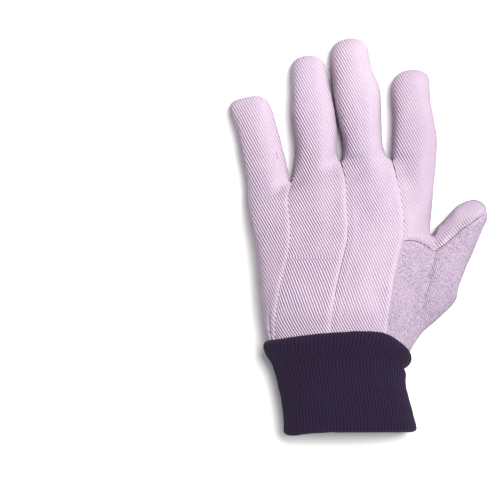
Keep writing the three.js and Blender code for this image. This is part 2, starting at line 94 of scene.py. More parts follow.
# the back's height along the thumb's root, and along the fingers' roots, where it is high on a finger
# and low in a web
thumbRootHeights = [0, 19, 23.2, 24.8, 25.4, 25.6, 24.2, 20]
knuckleHeights = [17.5, 22.6, 17.5, 24.6, 18, 25.4, 18, 24.2, 18.5]
webDips = {7: 0.6, 8: 1.2, 9: 2.2}  # by row: how far the back sinks between two fingers
handShape = {
    "flatness": 2.5,       # a section's curve runs this far under the floor, so the palm lies flat
    "wristLift": 2.7,      # height of the wrist's edge over the floor
    "palmInset": 5.5,      # from the outline in to the palm's edge, below the little finger
    "wristInset": 8.3,
    "edgeLift": 1.0,       # the palm's edge stands up a little
    "wristEdgeLift": 3.2,
    "webLift": 2.6,
    "wristCorner": (21.6, 8.6),  # X and height of the wrist's corner below the thumb
    "sideLevel": 0.42,     # where the side wall bends, as a share of the height
    "thumbSideLevel": 9.5,
    "webLevel": 10.5,
    "backInset": 3.2,      # from the outline in to the back's edge
}

# each finger: where its root is, which way it points, and its rings as distance from the root,
# left side, right side, underside and top. sideSeams are shares of the height.
fingers = {
    "little": {
        "root": (-59.5, 33.7), "heading": -11.4, "column": 0, "length": 57.2, "sideSeams": (0.45, 0.45),
        "rings": [
            (7.4, -13.8, 13.6, 0.4, 22.2), (18.3, -13.6, 13.2, 1.1, 22.1), (29.2, -13.5, 12.6, 1.6, 21.9),
            (39.5, -13.9, 11.8, 1.7, 21.2), (48.2, -15.0, 10.8, 0.7, 19.4), (55.0, -13.2, 6.6, 2.7, 14.4)]},
    "ring": {
        "root": (-28.9, 44.5), "heading": -3.6, "column": 2, "length": 71.1, "sideSeams": (0.27, 0.47),
        "rings": [
            (7.1, -13.6, 14.4, 0.4, 24.3), (17.8, -13.2, 14.9, 1.2, 24.5), (28.4, -13.9, 14.5, 1.9, 24.5),
            (39.1, -14.1, 13.4, 2.2, 24.2), (50.5, -13.4, 11.4, 1.5, 22.7), (62.1, -12.8, 10.3, 0.5, 20.5),
            (68.7, -9.8, 7.4, 2.9, 15.5)]},
    "middle": {
        "root": (2, 47.1), "heading": -7.35, "column": 4, "length": 80.6, "sideSeams": (0.27, 0.47),
        "rings": [
            (4.8, -13.7, 14, 0.3, 25), (13.7, -12.5, 13.7, 1, 25.3), (25, -13.5, 14.7, 1.7, 25.5),
            (36.3, -14.4, 15.6, 2.3, 25.5), (47.6, -14.3, 15.5, 1.8, 24.7), (59.6, -13.5, 13, 0.9, 22.9),
            (71.6, -12.4, 12.3, 0.3, 21.2), (77.8, -9.0, 9.4, 2.9, 16.1)]},
    "index": {
        "root": (34.6, 47.1), "heading": -1.6, "column": 6, "length": 59.3, "sideSeams": (0.45, 0.45),
        "rings": [
            (6.5, -14.2, 15.1, 0.4, 24), (16.6, -13.5, 15.3, 1.2, 24.3), (28.5, -12.9, 13.5, 1.7, 23.8),
            (39.1, -12.8, 11.6, 1.4, 22.6), (50.3, -12.5, 11.1, 0.5, 20.6), (56.8, -8.2, 9.3, 2.9, 15.5)]},
}
# the thumb: outer end and inner end of each ring, underside, top, and where the panel's edge
# crosses it above and below, from -1 at the outer side to 1 at the inner side
thumbRings = [
    ((44.0, -60.0), (48.8, 4.3), 0, 25.6, 0.55, -0.35),
    ((59.5, -45.5), (52.0, 7.2), 0, 25.5, 0.50, -0.22),
    ((62.8, -36.8), (54.9, 10.4), 0, 25, 0.43, -0.14),
    ((66.8, -25.1), (57.5, 13.3), 0.5, 24.8, 0.29, -0.23),
    ((71.7, -14.1), (60.7, 16.9), 1.0, 24.2, 0.15, -0.2),
    ((76.3, -3.3), (65.4, 20.2), 1.0, 23, -0.1, -0.33),
    ((79.7, 5.0), (73.2, 22.5), 1.4, 20, -0.28, -0.6),
]
# the round end of the thumb, from the outer side over the tip to the inner side
thumbTip = [(81.0, 8.0), (81.7, 10.0), (82.0, 12.1), (81.8, 14.3), (79.7, 19.6)]
thumbHeading = 34


def mix(a, b, t):
    return a + (b - a) * t


def clamp(value):
    return max(0, min(1, value))


def rounded(u, power=2.3):
    return max(1 - min(abs(u), 1) ** power, 0) ** (1 / power)


def sectionCurve(low, top):  # the middle of a section's rounded curve, and its rise
    flatness = handShape["flatness"]
    return (top + low - flatness) / 2, (top - low + flatness) / 2


def palmPoint(col, row, low):
    if col == 8:
        x, y = palmColumn8[row]
        if row == 0:
            x, z = handShape["wristCorner"]
            return Vector((x, y, z))
        if row <= 7:
            return Vector((x, y, {1: 3.0, 7: 1.3}.get(row, 0.1)))
        return Vector((x - 3.5, y, 1.3))
    if row == 10:
        x, y = handRows[row][col]
        x += 5.0 if col == 0 else 0
        y -= 1.5
        low += handShape["webLift"] if col in (2, 4, 6) else 0
    elif col == 7:
        x, y = palmColumn7[row]
    else:
        (x0, y0), (x7, y7), share = handRows[row][0], palmColumn7[row], col / 7
        x0 += handShape["wristInset" if row == 0 else "palmInset"]
        x, y = mix(x0, x7, share), mix(y0, y7, share ** 1.5)
    if col == 0:
        low += handShape["wristEdgeLift" if row == 0 else "edgeLift"]
    return Vector((x, y, low))


def handPoint(col, row, level):
    left, right, top = handHeights[row]
    low = handShape["wristLift"] if row == 0 else 0
    if level == 0:
        return palmPoint(col, row, low)
    x, y = handRows[row][col]
    atThumb = col == 8 and 1 <= row <= 7
    if level == 1:
        if row == 10 and 0 < col < 8:
            return Vector((x, y - 0.8, handShape["webLevel"]))
        if row in (8, 9):
            return Vector((x, y, {8: 11.5, 9: 9.5}[row]))
        if atThumb or row == 10:
            return Vector((x, y, handShape["thumbSideLevel"]))
        return Vector((x, y, mix(low, top, handShape["sideLevel"])))
    if atThumb:
        return Vector((x, y, thumbRootHeights[row]))
    if row == 10:
        return Vector((x + {0: 3, 8: -3}.get(col, 0), y, knuckleHeights[col]))
    if col == 0:
        x += min(handShape["backInset"], 0.45 * (handRows[row][1][0] - x))
    elif col == 8:
        x -= 3
    middle, rise = sectionCurve(low, top)
    u = (x - (right + left) / 2) / ((right - left) / 2)
    z = middle + rise * rounded(min(abs(u), 0.965))
    return Vector((x, y, z - (webDips.get(row, 0) if col in (2, 4, 6) else 0)))


def fingerPoint(name, side, step, level):
    finger = fingers[name]
    turn = math.radians(finger["heading"])
    distance, left, right, low, top = finger["rings"][step - 1]
    half, centre = (right - left) / 2, (right + left) / 2
    middle, rise = sectionCurve(low, top)
    if side == 1 and level == 1:
        distance, across, z = finger["length"], centre, (low + top) / 2
    elif side == 1:
        across, z = centre, top if level == 2 else low
    elif level == 1:
        share = finger["sideSeams"][side // 2]
        z = low + share * (top - low)
        across = centre + (side - 1) * half * rounded((z - middle) / rise)
    elif level == 2:
        across, z = centre + (side - 1) * 0.74 * half, middle + 0.74 * rise
    else:
        across, z = centre + (side - 1) * 0.8 * half, max(middle - 0.766 * rise, low)
    x, y = finger["root"]
    return Vector((x + distance * math.sin(turn) + across * math.cos(turn),
                   y + distance * math.cos(turn) - across * math.sin(turn), z))


def thumbPoint(step, row, level):
    outer, inner, low, top, above, below = thumbRings[step - 1]
    middle, rise = sectionCurve(low, top)
    if level == 1 and row in (1, 7):
        u, z = (-1 if row == 1 else 1), middle
    elif level == 1:
        x, y = thumbTip[row - 2]
        return Vector((x, y, (low + top) / 2))
    elif level == 2:
        u = mix(-0.88, above, (row - 1) / 4) if row <= 5 else mix(above, 0.88, (row - 5) / 2)
        z = middle + rise * rounded(u)
    else:
        u = mix(-0.88, below, row - 1) if row <= 2 else mix(below, 0.88, (row - 2) / 5)
        z = low + (0.9 if row in (1, 7) else 0)
    place = Vector(outer).lerp(Vector(inner), (u + 1) / 2)
    return Vector((place.x, place.y, z))


limbNames = ["hand", "little", "ring", "middle", "index", "thumb"]


def clothTarget(limb, col, row, level):
    if limb == 0:
        return handPoint(col, row, level) * mm
    if limb == 5:
        return thumbPoint(col - 8, row, level) * mm
    name = limbNames[limb]
    return fingerPoint(name, col - fingers[name]["column"], row - 10, level) * mm


def deselectAll():
    for other in bpy.context.selected_objects:
        other.select_set(False)


def selectOnly(piece):
    deselectAll()
    bpy.context.view_layer.objects.active = piece
    piece.select_set(True)


def within(face, axis, low, high):  # whether all corners of a cage face lie from one plane to another
    return all(low - 0.1 < vert.co[axis] < high + 0.1 for vert in face.verts)


def selectFaces(piece, test):
    bpy.ops.mesh.select_mode(type="FACE")
    bpy.ops.mesh.select_all(action="DESELECT")
    form = bmesh.from_edit_mesh(piece.data)
    for face in form.faces:
        if test(face):
            face.select = True
    bmesh.update_edit_mesh(piece.data)


# The cloth starts as a block of 8 by 10 by 2 cells, and a finger is pulled out of every two of
# its front cells, the thumb out of its right side.
deselectAll()
bpy.ops.mesh.primitive_cube_add(size=1, location=(4, 5, 1), scale=(8, 10, 2))
cloth = bpy.context.object
cloth.name = "glove_cloth"
bpy.ops.object.transform_apply(location=True, rotation=True, scale=True)
bpy.ops.object.mode_set(mode="EDIT")
for axis, count in ((0, 8), (1, 10), (2, 2)):
    for cut in range(1, count):
        place, direction = [0, 0, 0], [0, 0, 0]
        place[axis], direction[axis] = cut, 1
        bpy.ops.mesh.select_all(action="SELECT")
        bpy.ops.mesh.bisect(plane_co=place, plane_no=direction)

tagNames = ["limb", "col", "row", "level"]  # each cage point's own place in the tables
form = bmesh.from_edit_mesh(cloth.data)
tags = [form.verts.layers.int.new(name) for name in tagNames]
for vert in form.verts:
    for tag, value in zip(tags, (0, round(vert.co.x), round(vert.co.y), round(vert.co.z))):
        vert[tag] = value
bmesh.update_edit_mesh(cloth.data)


def pullOut(limb, steps, direction, test):
    selectFaces(cloth, test)
    for step in range(steps):
        bpy.ops.mesh.extrude_region_move(TRANSFORM_OT_translate={"value": direction})
        form = bmesh.from_edit_mesh(cloth.data)
        layers = [form.verts.layers.int[name] for name in tagNames]
        for vert in form.verts:
            if vert.select:
                for layer, value in zip(layers, (limb, *(round(v) for v in vert.co))):
                    vert[layer] = value
        bmesh.update_edit_mesh(cloth.data)


for number, name in enumerate(limbNames[1:5], 1):
    first = fingers[name]["column"]
    pullOut(number, len(fingers[name]["rings"]), (0, 1, 0), lambda face: (
        within(face, 1, 10, 10) and within(face, 0, first, first + 2)))
pullOut(5, len(thumbRings), (1, 0, 0), lambda face: within(face, 0, 8, 8) and within(face, 1, 1, 7))
selectFaces(cloth, lambda face: within(face, 1, 0, 0))
bpy.ops.mesh.delete(type="FACE")  # the wrist is open
bpy.ops.object.mode_set(mode="OBJECT")
print("cloth cage:", len(cloth.data.vertices), "points")


# Each face belongs to the panel that it is sewn from.
panelNames = ["palm_panel", "ring_back_panel", "middle_back_panel", "thumb_back_panel"]


def panelOf(limb, cols, rows, levels):
    upper = min(levels) >= 1 if limb else min(levels) == 2
    if limb in (1, 4):
        return 0
    if limb in (2, 3):
        return limb - 1 if upper else 0
    if limb == 5:
        if min(cols) < 15:
            if max(rows) == 1:
                return 3
            if min(rows) == 7 or (min(levels) == 0 and max(levels) == 1):
                return 0
            return 3 if (max(rows) <= 5 if min(levels) == 2 else max(rows) <= 2) else 0
        if len(set(cols)) > 1:
            if max(rows) == 1:
                return 3
            if min(rows) == 7:
                return 0
        return 3 if (max(rows) <= 5 if max(levels) == 2 else max(rows) <= 2) else 0
    if not upper:
        return 3 if (min(cols) >= 7 and max(levels) == 0 and max(rows) <= 2) or (
            min(cols) == 8 and max(rows) <= 1) else 0
    if max(cols) <= 2:
        return 0
    if max(cols) <= 4:
        return 1
    if max(cols) <= 6:
        return 2
    return 3 if max(rows) <= 5 else 0


# Where each cage point lies on the flat cloth, so that the twill follows the cloth round a side.
def limbColumns(limb):  # a limb's first and last column in the cage
    first = 0 if limb == 0 else fingers[limbNames[limb]]["column"]
    return first, 8 if limb == 0 else first + 2


def ringPoints(limb, row):
    first, last = limbColumns(limb)
    top = [clothTarget(limb, col, row, 2) for col in range(first, last + 1)]
    sides, under = ([clothTarget(limb, col, row, level) for col in (first, last)] for level in (1, 0))
    return top, sides, under


def clothCoordinate(limb, col, row, level, panel, lower):
    at = clothTarget(limb, col, row, level)
    if limb == 5 or (limb == 0 and panel == 3):
        turn = math.radians(thumbHeading)
        if panel == 3:
            if level == 2:
                return at.x, at.y
            edge = clothTarget(5, max(col, 9), 1, 2) if limb == 5 else clothTarget(0, 8, row, 2)
            if lower and level == 0 and row == 2:
                edge = clothTarget(limb, col, 1, 2)
            reach = 2 * abs(edge.z - at.z) + (0 if row <= 1 else 0.012)
            return edge.x + reach * math.cos(turn), edge.y - reach * math.sin(turn)
        if level == 0:
            return -at.x, at.y
        edge = clothTarget(limb, col, 7, 0) if limb == 5 else clothTarget(0, 8, 7, 0)
        reach = (at - edge).length
        return -edge.x + reach * math.cos(turn), edge.y + reach * math.sin(turn)
    top, sides, under = ringPoints(limb, row)
    first, last = limbColumns(limb)
    if panel in (1, 2):
        if level == 2:
            return at.x, at.y
        if limb == 0:
            return at.x, at.y + (clothTarget(0, col, row, 2) - at).length
        if first < col < last:
            return at.x, at.y
        corner, away = (top[0], -1) if col == first else (top[-1], 1)
        return corner.x + away * (corner - at).length, at.y
    if level == 0 or (lower and level == 1 and first < col < last):
        return -at.x, at.y  # the palm side is the same cloth seen from its other face
    leftU = -under[0].x + (under[0] - sides[0]).length
    rightU = -under[1].x - (under[1] - sides[1]).length
    if lower:
        return (leftU if col - first < (last - first) / 2 else rightU), at.y
    if row != 10:
        start = clothCoordinate(0, col, 10, level, panel, lower)[0]
        return start + at.x - clothTarget(0, col, 10, level).x, at.y
    fromLeft = col <= 4  # the row at the fingers' roots is measured along the cloth from its nearer side
    along = leftU if fromLeft else rightU
    chain = [sides[0], *top] if fromLeft else [sides[1], *reversed(top)]
    steps = 0 if level == 1 and col in (0, 8) else col + 1 if fromLeft else 9 - col
    for a, b in zip(chain[:steps], chain[1:]):
        along += (1 if fromLeft else -1) * (b - a).length
    return along, at.y


def slantedRow(v):  # the ridges stand steeper below the knuckles and lean over again at the cuff
    if v > 0:
        return v
    if v > -0.045:
        return v + 4 * v * v
    below = -0.045 - v
    return -0.0369 - 0.64 * below - 14 * below * below


form = bmesh.new()
form.from_mesh(cloth.data)
tags = [form.verts.layers.int[name] for name in tagNames]
weave = form.loops.layers.uv.new("weave")
targets = {}
for vert in form.verts:
    targets[vert.index] = clothTarget(*(vert[tag] for tag in tags))
for face in form.faces:
    limb = max(v[tags[0]] for v in face.verts)
    places = [tuple(v[tag] for tag in tags) for v in face.verts]
    cols, rows, levels = ([p[i] for p in places] for i in (1, 2, 3))
    face.material_index = panelOf(limb, cols, rows, levels)
    lower = max(levels) <= 1
    for loop, place in zip(face.loops, places):
        u, v = clothCoordinate(*place, face.material_index, lower)
        if face.material_index in (1, 2):
            v = slantedRow(v)
        loop[weave].uv = (u, v)

# The smoothed cloth should pass through the targets, so the cage is moved out to meet them.
for vert in form.verts:
    vert.co = targets[vert.index]
for attempt in range(6):
    moves = {}
    for vert in form.verts:
        if vert.is_boundary:
            ends = [e.other_vert(vert).co for e in vert.link_edges if e.is_boundary]
            limit = (vert.co * 4 + ends[0] + ends[1]) / 6
        else:
            n = len(vert.link_edges)
            total = vert.co * n * n
            for edge in vert.link_edges:
                total += edge.other_vert(vert).co * 4
            for face in vert.link_faces:
                total += next(v.co for v in face.verts if v is not vert and not any(
                    e.other_vert(vert) is v for e in vert.link_edges))
            limit = total / (n * (n + 5))
        moves[vert.index] = (targets[vert.index] - limit) * 0.9
    for vert in form.verts:
        vert.co += moves[vert.index]
bmesh.ops.recalc_face_normals(form, faces=form.faces)
form.to_mesh(cloth.data)
form.free()

selectOnly(cloth)
smoothing = cloth.modifiers.new("smooth cloth", "SUBSURF")
smoothing.levels = smoothing.render_levels = glove["clothDetail"]
smoothing.uv_smooth = "PRESERVE_BOUNDARIES"
bpy.ops.object.modifier_apply(modifier=smoothing.name)
bpy.ops.object.shade_smooth()
print("cloth:", len(cloth.data.polygons), "faces")


def seamLines(piece):  # the lines where two panels meet
    form = bmesh.new()
    form.from_mesh(piece.data)
    lines = {}
    for edge in form.edges:
        if len(edge.link_faces) == 2:
            pair = frozenset(face.material_index for face in edge.link_faces)
            if len(pair) == 2:
                lines.setdefault(pair, []).append(tuple(v.co.copy() for v in edge.verts))
    form.free()
    return lines


# On the parts that face up or down the weave follows the cloth's own place exactly.
littleOffset, indexOffset = (
    clothCoordinate(0, col, 10, 2, 0, False)[0] - clothTarget(0, col, 10, 2).x for col in (1, 7))
weaveMap = cloth.data.uv_layers["weave"].data
for polygon in cloth.data.polygons:
    panel = polygon.material_index
    for loop in polygon.loop_indices:
        vert = cloth.data.vertices[cloth.data.loops[loop].vertex_index]
        x, y, facing = vert.co.x, vert.co.y, vert.normal.z
        if panel in (1, 2):
            goal = (x, slantedRow(y))
        elif panel == 3:
            goal = (x, y)
        elif facing < 0:
            goal, facing = (-x, y), -facing
        else:
            goal = (x + (littleOffset if x < 0 else indexOffset), y)
        if panel and facing < 0:
            continue
        share = clamp((facing - 0.15) / 0.3)
        u, v = weaveMap[loop].uv
        weaveMap[loop].uv = (mix(u, goal[0], share), mix(v, goal[1], share))


seams = seamLines(cloth)
seamPoints = [
    (a.lerp(b, t / 3), pair) for pair, edges in seams.items() for a, b in edges for t in range(3)]
seamTree = KDTree(len(seamPoints))
for number, (place, pair) in enumerate(seamPoints):
    seamTree.insert(place, number)
seamTree.balance()

# soft folds: a line on the cloth, its height and its reach to each side
folds = [
    ([(33, -26), (33, -42), (32, -58), (31, -66)], 1.5, 3.4),
    ([(44.8, -12), (41, -28), (37.5, -45), (34, -64)], -0.75, 3.8),
    ([(20, -36), (19, -50), (16.5, -64)], 0.9, 3.6),
    ([(52, -14), (48, -30), (46, -46)], 0.55, 4.8),
    ([(60, 6), (66, -8), (68, -20)], -0.6, 4),
    ([(26, -12), (27, -30), (25, -50)], -0.7, 3.4),
]


def isThumbSeam(place, pair):  # the dark seam round the base of the thumb and along it
    return 3 in pair and place.z > 6 * mm and place.x > 27 * mm and place.y > -13 * mm


def segmentDistance(x, y, a, b):
    dx, dy = b[0] - a[0], b[1] - a[1]
    t = clamp(((x - a[0]) * dx + (y - a[1]) * dy) / (dx * dx + dy * dy))
    return math.hypot(x - a[0] - t * dx, y - a[1] - t * dy)


def foldHeight(x, y):
    total = 0
    for line, height, reach in folds:
        away = min(segmentDistance(x, y, a, b) for a, b in zip(line, line[1:]))
        if away < 3 * reach:
            total += height * math.exp(-(away / reach) ** 2)
    return total


def softWaves(x, y, z):
    wide = noise.noise(Vector((x / 17, y / 30, z / 17)))
    small = noise.noise(Vector((x / 6, y / 11, z / 6 + 7)))
    return glove["drape"] * (1.1 * wide + 0.3 * small)


def seamRelief(x, y, away, dark):  # a valley at the seam, a low roll beside it, and puckers
    dip = glove["thumbSeamDip" if dark else "seamDip"] * (1 - 0.8 * clamp((x - 75) / 4))
    pucker = glove["thumbPucker" if dark else "pucker"] * noise.noise(Vector((x / 4, y / 2.5, 1)))
    valley = -dip * math.exp(-(away / 1.3) ** 2)
    roll = 0.35 * dip * math.exp(-((away - 2.6) / 1.5) ** 2)
    return valley + roll + pucker * math.exp(-((away - 2) / 2.0) ** 2)


mesh = cloth.data
seamShare = mesh.attributes.new("seam", "FLOAT", "POINT")
gatherShare = mesh.attributes.new("gather", "FLOAT", "POINT")
mesh.update()
moved = []
for vert in mesh.vertices:
    number, away = seamTree.find(vert.co)[1:]
    away /= mm
    dark = isThumbSeam(*seamPoints[number])
    x, y, z = (value / mm for value in vert.co)
    lift = foldHeight(x, y) * max(vert.normal.z, 0) + softWaves(x, y, z) + seamRelief(x, y, away, dark)
    seamShare.data[vert.index].value = math.exp(-(away / 1.4) ** 2)
    atThumb = clamp((x - 46) / 4) if dark else 0
    gatherShare.data[vert.index].value = atThumb * clamp((5.0 - away) / 1.5)
    moved.append(vert.co + vert.normal * lift * mm)
for vert, place in zip(mesh.vertices, moved):
    vert.co = place
    vert.co.z = max(place.z, 0.0)
mesh.update()
print("folds and seams pressed in")


def newMaterial(name):
    material = bpy.data.materials.new(name)
    material.use_nodes = True
    return material, material.node_tree.nodes, material.node_tree.links


def newGroup(name, inputs, outputs):
    group = bpy.data.node_groups.new(name, "ShaderNodeTree")
    for title, kind in inputs.items():
        group.interface.new_socket(title, in_out="INPUT", socket_type="NodeSocket" + kind)
    for title, kind in outputs.items():
        group.interface.new_socket(title, in_out="OUTPUT", socket_type="NodeSocket" + kind)
    given = group.nodes.new("NodeGroupInput").outputs
    result = group.nodes.new("NodeGroupOutput").inputs
    return group, given, result


def useGroup(tree, group, **values):  # a value or a socket for each input, named without its spaces
    node = tree.nodes.new("ShaderNodeGroup")
    node.node_tree = group
    for socket in node.inputs:
        value = values[socket.name.replace(" ", "")]
        if isinstance(value, (int, float)):
            socket.default_value = value
        else:
            tree.links.new(value, socket)
    return node.outputs


def axes(tree, vector):
    node = tree.nodes.new("ShaderNodeSeparateXYZ")
    tree.links.new(vector, node.inputs[0])
    return node.outputs


def stripes(tree, value, pitch):  # a sine wave along a value
    return calc(tree, "SINE", calc(tree, "MULTIPLY", value, 2 * math.pi / pitch))


def attributeValue(tree, name):
    node = tree.nodes.new("ShaderNodeAttribute")
    node.attribute_name = name
    return node.outputs["Fac"]


def addBump(tree, shader, height, strength, distance):
    bump = tree.nodes.new("ShaderNodeBump")
    bump.inputs["Strength"].default_value = strength
    bump.inputs["Distance"].default_value = distance
    tree.links.new(height, bump.inputs["Height"])
    tree.links.new(bump.outputs[0], shader.inputs["Normal"])


def calc(tree, operation, a, b=None, c=None, clamp=False):
    node = tree.nodes.new("ShaderNodeMath")
    node.operation = operation
    node.use_clamp = clamp
    for socket, value in zip(node.inputs, (a, b, c)):
        if value is None:
            continue
        if isinstance(value, (int, float)):
            socket.default_value = value
        else:
            tree.links.new(value, socket)
    return node.outputs[0]


def speckle(tree, vector, scale, detail=2.0, roughness=0.5):
    node = tree.nodes.new("ShaderNodeTexNoise")
    node.inputs["Scale"].default_value = scale
    node.inputs["Detail"].default_value = detail
    node.inputs["Roughness"].default_value = roughness
    tree.links.new(vector, node.inputs["Vector"])
    return node.outputs[0]


def blendColour(tree, share, a, b, how="MIX"):
    node = tree.nodes.new("ShaderNodeMix")
    node.data_type = "RGBA"
    node.blend_type = how
    for socket, value in ((node.inputs[0], share), (node.inputs[6], a), (node.inputs[7], b)):
        if isinstance(value, (int, float)):
            socket.default_value = value
        elif isinstance(value, tuple):
            socket.default_value = (*value, 1)
        else:
            tree.links.new(value, socket)
    return node.outputs[2]


drill = {
    # the grooves are darker partly by the twill's own look and partly as painted shade
    "groove": (0.21, 0.150, 0.222),
    "ridge": (0.60, 0.480, 0.592),
    "cool": (0.40, 0.34, 0.51),    # wide cool patches, and painted cool shade on the thumb side
    "warm": (0.60, 0.455, 0.50),   # smaller warm ones
    "soil": (0.33, 0.27, 0.335),   # painted shade on the thumb side, where it turns away from the light
    "thread": (0.61, 0.485, 0.56),
    # painted shade in the needle holes, and the colour of the dark neps
    "hole": (0.18, 0.12, 0.18),
    # the painted highlight on the crests of the gathers
    "gather": (0.71, 0.63, 0.69),
    "stitchLength": 0.0019,
    "gatherPitch": 0.00175,
    "relief": 0.0005,              # height of the ridges
    "sheen": 0.03,
}
plainLook = {
    "angle": 0.50,         # slant of the ridges, in radians
    "pitch": 0.0016,       # their spacing
    "contrast": 1.0,       # their strength
    "napped": 0,           # how far the nap hides them and darkens the cloth as painted shade
    "mottled": 0,
    # how much painted shade darkens the thumb side
    "soiled": 0,
    "neps": [],            # small dark knots in the yarn, by their place in millimetres
}
# what each panel has of its own
panelLooks = {
    "palm_panel": {
        "title": "palm drill", "slot": "palm_drill", "contrast": 0.95, "napped": 0.7, "soiled": 1,
        "neps": [(-54.5, 51.6), (-53.9, 49.4)]},
    "ring_back_panel": {"title": "back drill", "slot": "back_drill"},
    "middle_back_panel": {"title": "back drill middle", "slot": "back_drill", "napped": 0.2},
    "thumb_back_panel": {
        "title": "thumb drill", "slot": "thumb_drill", "angle": 0.30, "pitch": 0.0013, "contrast": 0.25,
        "mottled": 1, "tint": (0.74, 0.74, 0.77), "neps": [(41.0, -38.9)]},
}


def twillGroup():
    group, given, result = newGroup(
        "twill weave", {"Cloth": "Vector", "Angle": "Float", "Pitch": "Float"},
        {"Ridge": "Float", "Height": "Float", "Fleck": "Float"})
    turn = group.nodes.new("ShaderNodeVectorRotate")
    turn.rotation_type = "Z_AXIS"
    group.links.new(given["Cloth"], turn.inputs["Vector"])
    group.links.new(calc(group, "MULTIPLY", given["Angle"], -1.0), turn.inputs["Angle"])
    turned = axes(group, turn.outputs[0])
    across = calc(group, "DIVIDE", turned[0], given["Pitch"])
    waver = calc(group, "MULTIPLY", speckle(group, given["Cloth"], 200.0, 3.0), 0.42)
    across = calc(group, "ADD", across, waver)
    ridge = calc(group, "MULTIPLY_ADD", stripes(group, across, 1), 0.5, 0.5)
    along = calc(group, "DIVIDE", turned[1], calc(group, "MULTIPLY", given["Pitch"], 0.75))
    along = calc(group, "ADD", along, calc(group, "MULTIPLY", across, 0.5))
    yarn = calc(group, "MULTIPLY_ADD", stripes(group, along, 1), 0.5, 0.5)
    fleck = speckle(group, given["Cloth"], 1500.0, 4.0, 0.7)
    twist = calc(group, "MULTIPLY", calc(group, "MULTIPLY", yarn, ridge), 0.35)
    height = calc(group, "ADD", calc(group, "ADD", ridge, twist), calc(group, "MULTIPLY", fleck, 0.35))
    for title, value in (("Ridge", ridge), ("Height", height), ("Fleck", fleck)):
        group.links.new(value, result[title])
    return group


# The nap hides the ridges towards the thumb side and at the heel of the hand; the same share also
# darkens the colour there, which is painted shade. The ridges are drawn weaker where the cloth faces the
# key light and stronger where it faces away, which is painted shade too, and weaker on the fingers.
# A clamped MULTIPLY_ADD is a ramp from 0 to 1, by its slope and its start.
def napAndShadeGroup():
    group, given, result = newGroup(
        "nap and painted shade", {"Place": "Vector", "Facing": "Vector", "Napped": "Float", "Contrast": "Float"},
        {"Nap": "Float", "Thumb": "Float", "Strength": "Float"})
    x, y = axes(group, given["Place"])[:2]
    side = calc(group, "MULTIPLY_ADD", x, 28.0, -0.35, True)
    heel = calc(group, "MULTIPLY", calc(group, "MULTIPLY_ADD", x, -90.0, -4.3, True),
                calc(group, "MULTIPLY_ADD", y, -40.0, 0.2, True))
    thumb = calc(group, "MULTIPLY_ADD", x, 90.0, -4.3, True)
    napAndShade = calc(group, "MULTIPLY_ADD", thumb, 0.5, calc(group, "MAXIMUM", side, heel))
    napAndShade = calc(group, "MULTIPLY", napAndShade, given["Napped"])
    # painted shade: the grooves are drawn darker where the cloth faces away from the key light and fainter
    # where it faces the light
    turned = calc(group, "MULTIPLY_ADD", axes(group, given["Facing"])[0], 2.2, 0.15, True)
    onFingers = calc(group, "MULTIPLY_ADD", y, 24.0, -1.2, True)
    strength = calc(group, "MULTIPLY", given["Contrast"], calc(group, "SUBTRACT", 1.0, napAndShade))
    strength = calc(group, "MULTIPLY", strength, calc(group, "MULTIPLY_ADD", turned, -0.95, 1.25))
    strength = calc(group, "MULTIPLY", strength, calc(group, "MULTIPLY_ADD", onFingers, -0.5, 1.0))
    for title, value in (("Nap", napAndShade), ("Thumb", thumb), ("Strength", strength)):
        group.links.new(value, result[title])
    return group


def cottonGroup():  # the yarn's colour, with its flecks, its cool and warm patches, and painted shade in the grooves and on the thumb side
    group, given, result = newGroup("cotton colour", {
        "Place": "Vector", "Ridge": "Float", "Fleck": "Float", "Nap": "Float", "Thumb": "Float",
        "Strength": "Float", "Mottled": "Float", "Soiled": "Float"}, {"Colour": "Color"})
    fleck = calc(group, "MULTIPLY_ADD", given["Fleck"], 1.1, -0.62)
    mottle = calc(group, "MULTIPLY_ADD", speckle(group, given["Place"], 900.0, 3.0, 0.7), 3.4, -1.9)
    fleck = calc(group, "ADD", fleck, calc(group, "MULTIPLY", mottle, given["Mottled"]))
    # the grooves are painted darker: partly the twill's look, partly painted shade that is deepest on sides
    # facing away from the key light; the nap's share adds painted shade
    grooveAndShade = calc(group, "MULTIPLY", given["Strength"], calc(group, "SUBTRACT", 0.8, given["Ridge"]))
    grooveAndShade = calc(group, "MULTIPLY_ADD", given["Nap"], 0.6, grooveAndShade)
    share = calc(group, "SUBTRACT", calc(group, "ADD", fleck, 1.0), grooveAndShade, None, True)
    colour = blendColour(group, share, drill["groove"], drill["ridge"])
    # painted shade on the thumb side: its colour is made cooler and darker
    paintedThumbShade = calc(group, "MULTIPLY", given["Thumb"], given["Soiled"])
    cool = calc(group, "MULTIPLY_ADD", speckle(group, given["Place"], 22.0, 3.0), 2.2, -0.85, True)
    cool = calc(group, "MULTIPLY_ADD", paintedThumbShade, 0.2, calc(group, "MULTIPLY", cool, 0.3))
    colour = blendColour(group, cool, colour, drill["cool"])
    colour = blendColour(group, calc(group, "MULTIPLY", paintedThumbShade, 0.45), colour, drill["soil"])
    warm = calc(group, "MULTIPLY_ADD", speckle(group, given["Place"], 75.0, 2.0), 2.6, -1.15, True)
    colour = blendColour(group, calc(group, "MULTIPLY", warm, 0.28), colour, drill["warm"])
    group.links.new(colour, result["Colour"])
    return group


def stitchGroup():  # a line of thread along a seam, with painted shade in its needle holes
    group, given, result = newGroup(
        "seam stitches", {"Colour": "Color", "Seam": "Float", "Place": "Vector"}, {"Colour": "Color"})
    thread = calc(group, "MULTIPLY", given["Seam"], 0.45)
    colour = blendColour(group, thread, given["Colour"], drill["thread"])
    holeShade = stripes(group, axes(group, given["Place"])[1], drill["stitchLength"])
    holeShade = calc(group, "MULTIPLY", calc(group, "POWER", given["Seam"], 6.0),
                 calc(group, "MULTIPLY_ADD", holeShade, 1.5, -0.4, True))
    colour = blendColour(group, calc(group, "MULTIPLY", holeShade, 0.45), colour, drill["hole"])
    group.links.new(colour, result["Colour"])
    return group


